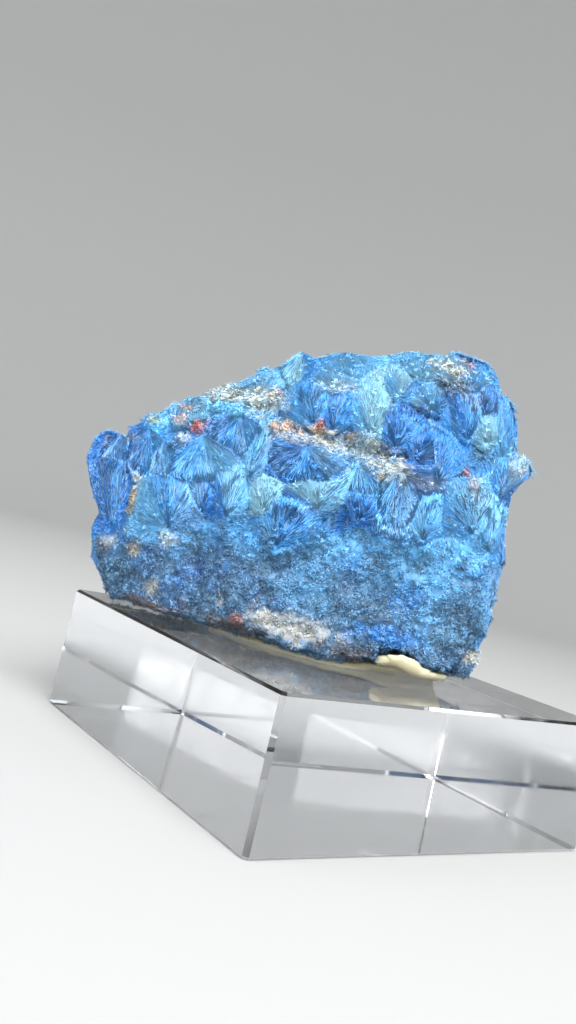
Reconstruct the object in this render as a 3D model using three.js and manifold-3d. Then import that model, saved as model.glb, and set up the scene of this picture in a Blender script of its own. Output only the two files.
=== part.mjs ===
// Shattuckite specimen fixed with mineral tack on a clear acrylic block.
//
// Millimetres, +Z up. The origin is at the middle of the block's underside. +X runs along the
// block's front edge and +Y away from it. The specimen stands turned on the block: its own frame
// has s to the right of someone who faces its best side, q away from them and z up.

import * as THREE from 'three';
import Module from 'manifold-3d';
import { ConvexGeometry } from 'three/addons/geometries/ConvexGeometry.js';
import { TessellateModifier } from 'three/addons/modifiers/TessellateModifier.js';
import { mergeVertices } from 'three/addons/utils/BufferGeometryUtils.js';

// Driving dimensions

const BLOCK_SIDE = 31.75;
const BLOCK_HEIGHT = 10;
const BLOCK_CHAMFER = 0.2;
const SPECIMEN_TURN = THREE.MathUtils.degToRad(-40);
const SPECIMEN_CLEARANCE = 0.6;
const TACK_CLEARANCE = 0.3;

// The best side is gently bowed, and it leans back above the shoulder.
const FRONT_DEPTH = -8.3;
const FRONT_BOW = 0.018;
const FRONT_BOW_CENTRE = -1;
const LEAN_HEIGHT = 25;
const LEAN = 0.3;

// The hidden side is flatter.
const BACK_DEPTH = 7;
const BACK_BOW = 0.008;
const BACK_BOW_CENTRE = -4;
const BACK_LEAN = 0.22;

const RIM_SETBACK = 2.2;
const GRAIN_EDGE = 2.3;
const LUMP_LENGTH = 3.4;
const LUMP_HEIGHT = 0.5;
const GRIT_LENGTH = 1.5;
const GRIT_HEIGHT = 0.3;
const FAN_ROOT = 4.5;
const FAN_RELIEF = 0.7;
const SKIRT_REACH = 0.8;
const SKIRT_DROP = 1.9;
const FAN_SETBACK = 0.75;
const FAN_CALM = 0.6;
const PIT_MOUTH = 0.5;

const wasm = await Module();
wasm.setup();

function toSolid(geometry) {
  const bare = geometry.clone();
  bare.deleteAttribute('normal');
  bare.deleteAttribute('uv');
  const merged = mergeVertices(bare, 1e-4);
  return new wasm.Manifold(new wasm.Mesh({
    numProp: 3,
    vertProperties: new Float32Array(merged.attributes.position.array),
    triVerts: new Uint32Array(merged.index.array),
  }));
}

function toGeometry(solid) {
  const mesh = solid.getMesh();
  const geometry = new THREE.BufferGeometry();
  geometry.setAttribute('position', new THREE.BufferAttribute(mesh.vertProperties, 3));
  geometry.setIndex(new THREE.BufferAttribute(mesh.triVerts, 1));
  geometry.computeVertexNormals();
  return geometry;
}

function union(solids) {
  return solids.reduce((whole, solid) => whole.add(solid));
}

// The largest piece of a solid, as its outer surface alone: loose crumbs and sealed gaps are left out
function largest(solid) {
  return solid.decompose().sort((a, b) => b.volume() - a.volume())[0];
}

// The two broad sides of the specimen, as the depth q at a place (s, z)

function frontDepth(s, z) {
  const bow = FRONT_BOW * (s - FRONT_BOW_CENTRE) ** 2;
  return FRONT_DEPTH + bow + LEAN * Math.max(0, z - LEAN_HEIGHT);
}

function backDepth(s, z) {
  const bow = BACK_BOW * (s - BACK_BOW_CENTRE) ** 2;
  return BACK_DEPTH - bow - BACK_LEAN * Math.max(0, z - LEAN_HEIGHT);
}

function onFront([s, z, height]) {
  return new THREE.Vector3(s, frontDepth(s, z) - height, z);
}

function onBack([s, z, height]) {
  return new THREE.Vector3(s, backDepth(s, z) + height, z);
}

// Where the fans end and the felted rock below them begins, as [s, z]
const fanFoot = [
  [-24, 15.4], [-19.7, 15.6], [-16, 16.6], [-14.3, 17], [-9.7, 18.8], [-6, 17.6], [-3, 19.6],
  [0, 20.6], [4, 20.4], [8, 21.8], [13, 21.4],
];

function footHeight(s) {
  const next = Math.max(1, fanFoot.findIndex(([footS]) => footS > s));
  const [s0, z0] = fanFoot[next - 1];
  const [s1, z1] = fanFoot[next];
  return z0 + ((z1 - z0) * (s - s0)) / (s1 - s0);
}

// How far a point of the rock is in the fans' zone of the best side, from 0 to 1
function fanZone(point) {
  const up = THREE.MathUtils.smoothstep(point.z - footHeight(point.x), -0.4, 1.2);
  return up * THREE.MathUtils.smoothstep(-point.y, 2, 5.4);
}

// Smooth lattice noise from -1 to 1, the same on every run

function latticeValue(i, j, k, salt) {
  let hash = Math.imul(i, 374761393) ^ Math.imul(j, 668265263);
  hash ^= Math.imul(k, 1274126177) ^ Math.imul(salt, 1103515245);
  hash = Math.imul(hash ^ (hash >>> 13), 1274126177);
  hash ^= hash >>> 16;
  return (hash >>> 0) / 2147483648 - 1;
}

function noise(point, wavelength, salt) {
  const x = point.x / wavelength;
  const y = point.y / wavelength;
  const z = point.z / wavelength;
  const cell = [Math.floor(x), Math.floor(y), Math.floor(z)];
  const part = [x - cell[0], y - cell[1], z - cell[2]].map((t) => t * t * (3 - 2 * t));
  let sum = 0;
  for (let corner = 0; corner < 8; corner += 1) {
    const step = [corner & 1, (corner >> 1) & 1, corner >> 2];
    const weight = step.reduce((w, on, axis) => w * (on ? part[axis] : 1 - part[axis]), 1);
    sum += weight * latticeValue(cell[0] + step[0], cell[1] + step[1], cell[2] + step[2], salt);
  }
  return sum;
}

// A lump of rock: its outline seen from the front as [s, z] corners, full size at the rim and
// drawn in on the front and back

function inset(outline, factor) {
  const middle = outline.reduce((sum, [s, z]) => [sum[0] + s, sum[1] + z], [0, 0]);
  const centre = middle.map((sum) => sum / outline.length);
  return outline.map(([s, z]) => [
    centre[0] + (s - centre[0]) * factor,
    centre[1] + (z - centre[1]) * factor,
  ]);
}

function lump(outline, { frontSet, frontInset, backSet, backInset }) {
  const rim = outline.map(([s, z]) => onFront([s, z, -RIM_SETBACK - frontSet]));
  const front = inset(outline, frontInset).map(([s, z]) => onFront([s, z, -frontSet]));
  const back = inset(outline, backInset).map(([s, z]) => onBack([s, z, -backSet]));
  const backRim = inset(outline, 0.97).map(([s, z]) => onBack([s, z, -RIM_SETBACK - backSet]));
  return toSolid(new ConvexGeometry([...rim, ...front, ...back, ...backRim]));
}

const mainOutline = [
  [-22.2, 15.2], [-21.5, 17.4], [-20.5, 23.2], [-19, 25.1], [-16.4, 26.9], [-13, 28.4],
  [-8.2, 31.8], [-4.4, 33.6], [-1, 33.9], [3.4, 35.3], [6.9, 35.2], [8.9, 32.9], [9.9, 31.8],
  [10.5, 29], [11, 22], [11.5, 15.2], [11.1, 13.4], [10.6, 11.8], [9, 11.3], [-2, 10.5],
  [-8, 10.6], [-18.8, 10.2], [-21, 12.7], [-21.9, 14.2],
];
const mainShape = { frontSet: 0, frontInset: 0.94, backSet: 0, backInset: 0.86 };
const finOutline = [
  [-19.2, 14.9], [-21.3, 16.3], [-22.7, 18.7], [-23.5, 21.2], [-23.7, 23.1], [-23.2, 23.9],
  [-20.8, 23.5], [-18.8, 22.8], [-18.2, 16],
];
const finShape = { frontSet: 0.9, frontInset: 0.75, backSet: 0.6, backInset: 0.5 };

// Flat breaks across the hidden side, the top and the ends: a point of the plane and the
// direction that it faces, in the specimen's frame
const breaks = [
  { through: [-4, 4.6, 30.2], facing: [-0.2, 0.62, 0.75] },
  { through: [6, 4.9, 30], facing: [0.35, 0.8, 0.4] },
  { through: [10, 4.2, 19], facing: [0.8, 0.6, -0.05] },
  { through: [-17.5, 3.6, 18], facing: [-0.62, 0.75, 0.15] },
  { through: [-13, 4.4, 25], facing: [-0.35, 0.6, 0.7] },
  { through: [-6, 6.3, 13.5], facing: [-0.1, 0.75, -0.6] },
  { through: [3, 5.6, 13], facing: [0.3, 0.8, -0.5] },
  { through: [10.2, -5.6, 13.4], facing: [0.8, -0.5, -0.35] },
];
const BREAK_REACH = 40;

function breakOff(rock, { through, facing }) {
  const waste = new THREE.BoxGeometry(BREAK_REACH, BREAK_REACH, BREAK_REACH);
  waste.translate(0, 0, BREAK_REACH / 2);
  const turn = new THREE.Quaternion().setFromUnitVectors(
    new THREE.Vector3(0, 0, 1),
    new THREE.Vector3(...facing).normalize(),
  );
  waste.applyQuaternion(turn).translate(...through);
  return rock.subtract(toSolid(waste));
}

function roughen(geometry) {
  const corners = mergeVertices(geometry, 1e-4);
  const position = corners.attributes.position;
  const point = new THREE.Vector3();
  for (let i = 0; i < position.count; i += 1) {
    point.fromBufferAttribute(position, i);
    const zone = fanZone(point);
    const shift = [0, 1, 2].map((axis) => LUMP_HEIGHT * noise(point, LUMP_LENGTH, axis + 1)
      + GRIT_HEIGHT * noise(point, GRIT_LENGTH, axis + 11));
    const z = Math.max(point.z + shift[2], BLOCK_HEIGHT + SPECIMEN_CLEARANCE);
    const q = point.y + shift[1] * (1 - FAN_CALM * zone) + FAN_SETBACK * zone;
    position.setXYZ(i, point.x + shift[0], q, z);
  }
  return corners;
}

function rockMass() {
  const main = breaks.reduce(breakOff, lump(mainOutline, mainShape));
  const plain = toGeometry(main.add(lump(finOutline, finShape))).toNonIndexed();
  plain.deleteAttribute('normal');
  return toSolid(roughen(new TessellateModifier(GRAIN_EDGE, 24).modify(plain)));
}

// A fan of crystal needles: flat facets from the apex, where the needles meet, to the rim, and a
// steep skirt all round that runs down to its foot. From there it runs back to a root inside the
// rock. The ring is the apex and the rim, and the foot has a corner for each corner of the ring.

function fanSolid(ring, foot, root) {
  const count = ring.length;
  const points = [...ring, ...foot, root];
  const index = [];
  for (let i = 1; i < count - 1; i += 1) {
    index.push(0, i, i + 1);
  }
  for (let i = 0; i < count; i += 1) {
    const next = (i + 1) % count;
    index.push(i, count + i, next, next, count + i, count + next);
    index.push(2 * count, count + next, count + i);
  }
  const geometry = new THREE.BufferGeometry().setFromPoints(points);
  geometry.setIndex(index);
  const solid = toSolid(geometry);
  if (solid.volume() > 0) {
    return solid;
  }
  index.reverse();
  geometry.setIndex(index);
  return toSolid(geometry);
}

// Whether a place [s, z] is inside an outline, by the edges that it crosses on its way to the left
function isInside([s, z], outline) {
  let crossings = 0;
  outline.forEach(([s0, z0], i) => {
    const [s1, z1] = outline[(i + 1) % outline.length];
    if ((z0 > z) !== (z1 > z) && s > s0 + ((s1 - s0) * (z - z0)) / (z1 - z0)) {
      crossings += 1;
    }
  });
  return crossings % 2 === 1;
}

function reachOut([s, z], centre, reach) {
  const length = Math.hypot(s - centre[0], z - centre[1]);
  return [s + (reach * (s - centre[0])) / length, z + (reach * (z - centre[1])) / length];
}

function frontFan(corners) {
  const ring = corners.map(([s, z, height]) => [s, z, height * (height > 0 ? FAN_RELIEF : 1)]);
  const sum = ring.reduce((total, [s, z]) => [total[0] + s, total[1] + z], [0, 0]);
  const centre = sum.map((total) => total / ring.length);
  const foot = ring.map(([s, z, height]) => {
    const wide = reachOut([s, z], centre, SKIRT_REACH);
    const inRock = isInside(wide, mainOutline) || isInside(wide, finOutline);
    const place = inRock ? wide : reachOut([s, z], centre, -0.1);
    return onFront([...place, height - SKIRT_DROP]);
  });
  return fanSolid(ring.map(onFront), foot, onFront([...centre, -FAN_ROOT]));
}

// The fans of the best side. Each starts with its apex and goes round its rim: [s, z, height].
// Those that open upwards from a low apex face down, and those from a high apex face up.

const frontFans = [
  // Lower tier, left to right
  [[-19.7, 15.8, -0.9], [-23, 21.2, -1.3], [-21.3, 21.6, -0.3], [-19.6, 21.4, 0],
    [-18.9, 19, -0.3]],
  [[-21.1, 23.7, -1.4], [-22.9, 23.4, -1.7], [-23.1, 21.1, -1.3], [-21.3, 21.5, -0.3],
    [-19.6, 21.3, 0], [-19.3, 23.1, -0.7]],
  [[-17.9, 24.4, 0.8], [-19.8, 23.6, 0], [-19.4, 21.2, 0.1], [-18.3, 20.8, 0.2], [-16.9, 21, 0.7],
    [-16.5, 23.8, 0.5]],
  [[-14.3, 17.1, 0.2], [-16.9, 16.8, 0.9], [-17.3, 18.8, 1], [-17, 20.6, 1], [-15.3, 21.1, 1.3],
    [-13.5, 20.9, 1.1], [-12.7, 19.4, 0.6]],
  [[-16.5, 23.9, 0.3], [-17.2, 22.4, 0.6], [-17, 20.6, 1.05], [-15.2, 21.2, 1.35],
    [-14.9, 22.6, 0.8]],
  [[-13.2, 24.7, 0.2], [-15.4, 23.4, 0.5], [-15.2, 21.2, 1.35], [-13.4, 20.9, 1.2],
    [-12, 21.4, 0.8], [-10.4, 21.9, 0.7], [-9.6, 23.2, 0.5], [-10.8, 24.2, 0.2]],
  [[-11.8, 18.9, 0.3], [-13.4, 20.6, 0.8], [-12.4, 21.7, 0.7], [-11.2, 20.6, 0.5]],
  [[-9.7, 19, 1], [-12.3, 21.8, 0.2], [-11.1, 22.1, 0.8], [-9.9, 23.1, 0.6], [-8.9, 22.6, 0.5],
    [-8.5, 20.8, 0.2]],
  [[-7, 20, 1.1], [-8.4, 21, 0.3], [-8.2, 22.4, 0.3], [-6.2, 22.4, 0.3], [-5.9, 21.4, 0.7]],
  [[-5.6, 17.8, 0.2], [-7, 19.4, 0.5], [-6.4, 21.2, 1.1], [-4.7, 21.5, 1.2], [-3.4, 20.9, 1],
    [-3.2, 19.8, 0.5]],
  [[-3.2, 21.1, 1.3], [-6, 21.5, 0.8], [-6, 22.3, 0.2], [-4.4, 23.1, 0.1], [-2.3, 23.3, 0.3],
    [-1.1, 24.6, 0.5], [-1.3, 22.7, 0.8]],
  [[-4.95, 25.4, 1.2], [-7.6, 25.2, 0.5], [-7.6, 23.4, 0.1], [-6, 22.4, 0], [-3, 23.2, 0.1],
    [-2.3, 24.7, 0.5]],
  [[-1, 25.1, 0.3], [-1.3, 22.8, 1], [0.7, 22.9, 1.15], [0.6, 24.6, 0.5]],
  [[-0.1, 21, 0.2], [-1.3, 22.8, 1], [0.6, 23, 1.15], [1.1, 21.8, 0.6]],
  [[2.1, 25.3, 0.9], [0.7, 24.2, 0.5], [0.9, 22.6, 0.6], [1.7, 21, 0.6], [3.4, 20.9, 0.8],
    [4.1, 23.5, 0.3], [5.2, 24.4, 0.2], [5.3, 26.2, 0.6]],
  [[4.8, 20.7, 0.9], [3.6, 21.9, 0.3], [4.1, 23.9, 0.4], [5.4, 24.1, 0.3], [5.8, 22, 0.2]],
  [[8.4, 22, 0.3], [6.2, 22.4, 0.5], [5.9, 25.1, 0.9], [7.6, 25.3, 1.2], [9.3, 24.9, 0.6],
    [9.9, 23.2, -0.2]],
  [[9.9, 21, -0.4], [8.6, 22.6, 0.5], [9.4, 24.8, 0.3], [10.6, 23.6, -1.1], [10.9, 21.4, -1.3]],

  // Upper tier, left to right
  [[-15.8, 27.7, -1.3], [-17.2, 26.3, -0.6], [-15.4, 25.6, 0.6], [-13.4, 26.2, 0.6],
    [-14, 28, -1]],
  [[-10.6, 26.9, 0.9], [-12.8, 25.6, 0.4], [-12.4, 24.1, 0.2], [-10.6, 23.7, 0.2],
    [-9.3, 24.4, 0.5], [-8.9, 26.4, 0.8]],
  [[-8.7, 22.2, 1], [-9.3, 24.6, 0.5], [-8.9, 26.8, 0.3], [-7.8, 26.2, 0.2], [-7.7, 23.6, 0.3]],
  [[-9.2, 28.4, 0.7], [-12.6, 27.2, 0.4], [-11.3, 29.1, -0.4], [-9.8, 30.5, -0.9], [-7.7, 30.4, 0]],
  [[-7.4, 33, -0.8], [-8.9, 31.4, -1.1], [-8, 30.2, 0.3], [-6.6, 30, 0.8], [-5.9, 31.8, -0.2]],
  [[-5.1, 27.3, 0.2], [-7.1, 28.1, 0.4], [-7, 30.1, 0.9], [-5.2, 30.3, 1.2], [-4.3, 29.3, 0.9]],
  [[-3.6, 27.1, 0.2], [-4.4, 29.4, 0.9], [-2.9, 30.3, 1.2], [-2.2, 28.7, 0.6]],
  [[-4.1, 29.9, 1.3], [-5.9, 30.6, 0.7], [-5.2, 31.9, -0.1], [-3.1, 31.9, -0.2], [-2.4, 30.9, 0.6]],
  [[-4.2, 33.7, -1.5], [-6, 32.8, -1.2], [-5.2, 31.7, 0.1], [-2.6, 31.7, 0.2], [-1.4, 33.6, -1.4]],
  [[-0.6, 27.3, 1], [-2.3, 28.6, 0.6], [-2.4, 30.6, 0.3], [-1.4, 32.2, -0.2], [0.1, 30.5, 0.3],
    [0.4, 28.6, 0.4]],
  [[1.4, 26.9, 0.1], [0.1, 28, 0.5], [0.1, 29.5, 1.1], [1.4, 29.8, 1.3], [2.6, 29.2, 0.9],
    [2.7, 28, 0.5]],
  [[3, 26.3, 0.2], [2.5, 27.8, 0.5], [3.2, 28.7, 1.1], [4.3, 28.3, 1.1], [4.7, 26.6, 0.6]],
  [[4.9, 24.9, 0.7], [4.3, 27, 0.9], [3.7, 29, 1], [5.2, 28.7, 0.4], [6, 26.8, 0.3]],
  [[0.8, 30.5, 1.1], [-0.4, 31.6, 0.2], [0.2, 33.1, -0.6], [1.7, 32.7, -0.3], [1.6, 30.8, 0.7]],
  [[3.4, 30.3, 1.1], [1.8, 30.6, 0.9], [2.4, 32.4, 0.1], [4.1, 32.7, 0.1], [4.5, 30.8, 0.7]],
  [[6.6, 28.9, 0.2], [4.6, 29.4, 0.8], [4.2, 31.2, 0.9], [5, 32.2, 1], [6.5, 32.2, 1.1],
    [7.2, 30.8, 0.8]],
  [[7.9, 28.9, 1.1], [6.9, 29.4, 0.7], [7.1, 31.1, 0.3], [8.1, 31.2, 0.2], [8.8, 29.5, 0.4]],
  [[7.5, 30.9, 0.3], [6.6, 31.4, 0.7], [6.8, 33.2, 1], [8.1, 32.9, 0.6], [8.4, 31.7, 0.2]],
  [[9.3, 28.2, 0.8], [8.5, 29.8, 0.3], [8.5, 32.2, -0.2], [8.9, 33.3, -1.2], [9.7, 32.6, -1.4],
    [10.4, 30.6, -1.3], [10.4, 29, -0.9]],
  [[5.8, 32.2, 1], [3.3, 33.2, 0.5], [4, 35.6, -0.9], [6.8, 35.5, -1], [7.5, 33.9, -0.4]],
  [[2, 32.4, 0.5], [0.2, 33.7, -0.9], [2.2, 34.9, -1.2], [3.7, 34.9, -0.7], [3.6, 33.2, 0.3]],
  [[9.7, 25.1, 0.3], [9.4, 28, 0.8], [10.8, 28.8, -0.4], [11.6, 28.7, -0.8], [12.2, 27.9, -1],
    [11, 26.2, -0.9]],
];

// Guessed fans of the sides that nothing shows: the middle of each in the specimen's frame, the
// direction that it faces as a turn about z and a tilt up in degrees, its reach and its own turn

const HIDDEN_RIM = 6;
const HIDDEN_APEX_HEIGHT = 0.7;

const endFans = [
  [10.9, -3.4, 20.2, 75, 5, 2.2, 0.4], [11.2, -1, 15.4, 82, -5, 2.3, 2],
  [10.5, 0.6, 21.8, 90, 5, 2.5, 3.4], [10.2, -1.6, 27.4, 85, 8, 2.3, 1.2],
  [9.5, 0.6, 31.2, 90, 30, 2.2, 5], [7, -1.6, 34.4, 40, 65, 2.2, 0.8],
  [3, 0, 34.5, 0, 80, 2.5, 2.6], [-2.4, -1.4, 33.6, 0, 75, 2.4, 4.4],
  [-7, 0.4, 31.6, -20, 66, 2.3, 1.9], [-11.4, -1, 29, -15, 66, 2.4, 3.1],
  [-15.6, 0, 26.5, -20, 60, 2.2, 5.4], [-20.7, 0.2, 15.4, -85, -5, 1.6, 2.2],
  [-20.3, 1, 20.2, -100, 15, 2.1, 0.3], [-19.6, 1.2, 12.7, -95, -30, 2, 3.9],
];

function facingFan([s, q, z, turn, tilt, reach, spin]) {
  const frame = new THREE.Matrix4().makeRotationFromEuler(new THREE.Euler(
    THREE.MathUtils.degToRad(-tilt),
    0,
    THREE.MathUtils.degToRad(turn),
    'ZXY',
  ));
  frame.setPosition(s, q, z);
  const place = (across, up, height) => new THREE.Vector3(across, -height, up)
    .applyMatrix4(frame);
  const ring = [[0, 0, HIDDEN_APEX_HEIGHT]];
  for (let i = 0; i < HIDDEN_RIM; i += 1) {
    const angle = spin + (i * Math.PI * 1.2) / (HIDDEN_RIM - 1);
    const length = reach * (0.85 + 0.25 * Math.cos(i * 2.6 + spin));
    const height = 0.15 + 0.4 * Math.cos(i * 2.2 + 3 * spin);
    ring.push([length * Math.cos(angle), length * Math.sin(angle), height]);
  }
  const sum = ring.reduce((total, [across, up]) => [total[0] + across, total[1] + up], [0, 0]);
  const centre = sum.map((total) => total / ring.length);
  const foot = ring.map(([across, up, height]) => {
    const wide = reachOut([across, up], centre, SKIRT_REACH);
    return place(...wide, height - SKIRT_DROP);
  });
  return fanSolid(ring.map((corner) => place(...corner)), foot, place(...centre, -FAN_ROOT));
}

// The broad hidden side carries its fans on a staggered grid.

const HIDDEN_COLUMNS = 5;
const HIDDEN_ROWS = 3;
const HIDDEN_FIRST = [-17.2, 14.6];
const HIDDEN_STEP = [5.2, 6.2];

function hiddenPlace(column, row) {
  const s = HIDDEN_FIRST[0] + HIDDEN_STEP[0] * (column + 0.5 * (row % 2)) + Math.sin(row * 2.1);
  const z = HIDDEN_FIRST[1] + HIDDEN_STEP[1] * row + 0.9 * Math.sin(column * 1.7);
  const reach = 2.8 + 0.5 * Math.sin(column * 1.9 + row);
  return [s, backDepth(s, z) - 0.1, z, 180, row * 4 - 4, reach, column * 2.4 + row * 1.3];
}

function hiddenFans() {
  const places = [...endFans];
  for (let row = 0; row < HIDDEN_ROWS; row += 1) {
    for (let column = row > 1 ? row : 0; column < HIDDEN_COLUMNS; column += 1) {
      places.push(hiddenPlace(column, row));
    }
  }
  return places.map(facingFan);
}

// Pits and gashes broken into the best side: [s, z, half width, half height, depth, lean]

const pits = [
  [-6.4, 18.1, 0.9, 1.2, 1.7, 0.2],
  [2.1, 31.7, 1.1, 0.9, 1.5, 0.4],
  [-18, 18.9, 0.6, 2.2, 2.2, 0.14],
  [-15.4, 23.7, 0.8, 0.6, 1.6, 0.6],
  [5.2, 11.6, 2.3, 1.1, 4.4, 0.12],
  [-7, 10.8, 3, 0.8, 2.4, -0.1],
  [10.9, 24.5, 1.1, 0.8, 4, 0.3],
];

function pitSolid([s, z, halfWidth, halfHeight, depth, lean]) {
  const geometry = new THREE.IcosahedronGeometry(1, 0);
  geometry.scale(halfWidth, depth, halfHeight);
  geometry.rotateY(lean);
  const place = onFront([s, z, PIT_MOUTH]);
  geometry.translate(place.x, place.y, place.z);
  return toSolid(geometry);
}

function specimenSolid() {
  const fans = [...frontFans.map(frontFan), ...hiddenFans()];
  const whole = union([rockMass(), ...fans]);
  return largest(pits.map(pitSolid).reduce((rock, pit) => rock.subtract(pit), whole));
}

// Tack: a low pressed pad on the block, cut clear of the specimen that sits in it

const PAD_HEIGHT = 0.9;
const PAD_BEVEL = 0.5;
const padOutline = [
  [-9.8, -2], [-6.4, -4.4], [-2.4, -6.6], [0.8, -6.6], [2.6, -5.4], [4, -2.6], [6, -0.2],
  [9, 0.4], [8.6, 2], [5, 3.4], [-1, 4.4], [-6.8, 3], [-9.8, 0.4],
];

// The lip that is squeezed up into the notch at the right foot. It hangs clear of the block at the
// front and arches under the notch: the corners of its two halves, as [s, q, z]
const lipHalves = [
  [
    [2.6, -6.6, 10.9], [4.9, -7.4, 11.7], [3.6, -6.9, 12.1], [4.6, -7.4, 12.7], [5.4, -7.4, 12.7],
    [2, -4.8, 10.2], [5.6, -2.4, 10], [2, -4.8, 11.4], [5.6, -2.4, 11.6], [5.4, -7.3, 11.7],
  ],
  [
    [4.9, -7.4, 11.7], [4.9, -7.4, 12.7], [5.6, -7.4, 12.6], [6.4, -7.2, 12], [9.2, -6, 11.8],
    [6.8, -7.1, 10.9], [8.8, -6.1, 10.9], [4.6, 0.4, 10], [8.4, 0.6, 10], [4.6, 0.4, 11.2],
    [8.4, 0.6, 11.2],
  ],
];

function padGeometry() {
  const points = padOutline.map(([s, q]) => new THREE.Vector2(s, q));
  const geometry = new THREE.ExtrudeGeometry(new THREE.Shape(points), {
    depth: PAD_HEIGHT - PAD_BEVEL,
    bevelThickness: PAD_BEVEL,
    bevelSize: PAD_BEVEL,
    bevelOffset: -PAD_BEVEL,
    bevelSegments: 2,
  });
  geometry.translate(0, 0, BLOCK_HEIGHT);
  return geometry;
}

function tackSolid(specimen) {
  const [left, right] = lipHalves.map((corners) => {
    const places = corners.map((corner) => new THREE.Vector3(...corner));
    return toSolid(new ConvexGeometry(places));
  });
  const below = new THREE.BoxGeometry(60, 60, 10).translate(0, 0, BLOCK_HEIGHT - 5);
  const pressed = union([toSolid(padGeometry()), left, right]).subtract(toSolid(below));
  const shifts = [[0, 0, -1], [0, -1, 0]];
  return largest(shifts.reduce((tack, shift) => {
    const offset = shift.map((along) => along * TACK_CLEARANCE);
    return tack.subtract(specimen.translate(offset));
  }, pressed));
}

// Clear block with fine chamfers on all its edges

function blockGeometry() {
  const half = BLOCK_SIDE / 2 - BLOCK_CHAMFER;
  const cut = half - BLOCK_CHAMFER;
  const outline = [
    [half, -cut], [half, cut], [cut, half], [-cut, half],
    [-half, cut], [-half, -cut], [-cut, -half], [cut, -half],
  ].map(([x, y]) => new THREE.Vector2(x, y));
  const geometry = new THREE.ExtrudeGeometry(new THREE.Shape(outline), {
    depth: BLOCK_HEIGHT - 2 * BLOCK_CHAMFER,
    bevelThickness: BLOCK_CHAMFER,
    bevelSize: BLOCK_CHAMFER,
    bevelSegments: 1,
  });
  geometry.translate(0, 0, BLOCK_CHAMFER);
  return geometry;
}

const acrylic = new THREE.MeshStandardMaterial({
  color: 0xdfe6e8, roughness: 0.08, metalness: 0, transparent: true, opacity: 0.4,
});
const cream = new THREE.MeshStandardMaterial({ color: 0xd8cfa4, roughness: 0.6, metalness: 0 });
const blue = new THREE.MeshStandardMaterial({
  color: 0x2f7cc4, roughness: 0.7, metalness: 0, flatShading: true,
});

function namedMesh(name, geometry, material) {
  const mesh = new THREE.Mesh(geometry, material);
  mesh.name = name;
  return mesh;
}

const specimen = specimenSolid();
const turned = new THREE.Group();
turned.rotation.z = SPECIMEN_TURN;
turned.add(namedMesh('shattuckite', toGeometry(specimen), blue));
turned.add(namedMesh('mineral_tack', toGeometry(tackSolid(specimen)), cream));

const group = new THREE.Group();
group.add(namedMesh('acrylic_block', blockGeometry(), acrylic));
group.add(turned);

export default group;
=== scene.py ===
"""Looks for the shattuckite specimen on its clear block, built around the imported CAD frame.

The specimen is worked in its own frame, in millimetres: s to the right of someone who faces its
best side, q away from them and z up. It stands turned on the block, as in the part's source.
"""

import itertools
import math

import bpy
import numpy as np
from mathutils import Matrix, Vector
from mathutils.bvhtree import BVHTree


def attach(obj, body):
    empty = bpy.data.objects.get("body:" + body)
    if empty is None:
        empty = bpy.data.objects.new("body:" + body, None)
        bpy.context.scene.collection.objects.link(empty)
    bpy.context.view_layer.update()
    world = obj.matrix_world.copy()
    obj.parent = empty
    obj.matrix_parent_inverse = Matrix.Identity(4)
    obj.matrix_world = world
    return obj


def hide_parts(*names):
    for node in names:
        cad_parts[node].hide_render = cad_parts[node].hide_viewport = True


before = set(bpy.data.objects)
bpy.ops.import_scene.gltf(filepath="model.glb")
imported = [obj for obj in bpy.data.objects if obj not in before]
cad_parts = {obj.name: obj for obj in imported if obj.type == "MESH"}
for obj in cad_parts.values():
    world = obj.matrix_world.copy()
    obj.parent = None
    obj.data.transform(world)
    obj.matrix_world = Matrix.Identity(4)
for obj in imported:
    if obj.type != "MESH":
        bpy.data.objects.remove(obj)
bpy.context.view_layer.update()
rng = np.random.default_rng(11)

# Places and sizes shared with the part's source, in millimetres

MM = 0.001
SPECIMEN_TURN = math.radians(-40)
SPECIMEN_AXES = np.array([
    [math.cos(SPECIMEN_TURN), math.sin(SPECIMEN_TURN), 0],
    [-math.sin(SPECIMEN_TURN), math.cos(SPECIMEN_TURN), 0],
    [0, 0, 1],
])
BLOCK_HEIGHT = 10
FAN_RELIEF = 0.7

# The depth of the best side and of the back, which both bow and lean
FRONT_DEPTH = -8.3
FRONT_BOW = 0.018
FRONT_BOW_CENTRE = -1
LEAN_HEIGHT = 25
LEAN = 0.3
BACK_DEPTH = 7
BACK_BOW = 0.008
BACK_BOW_CENTRE = -4
BACK_LEAN = 0.22

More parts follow.
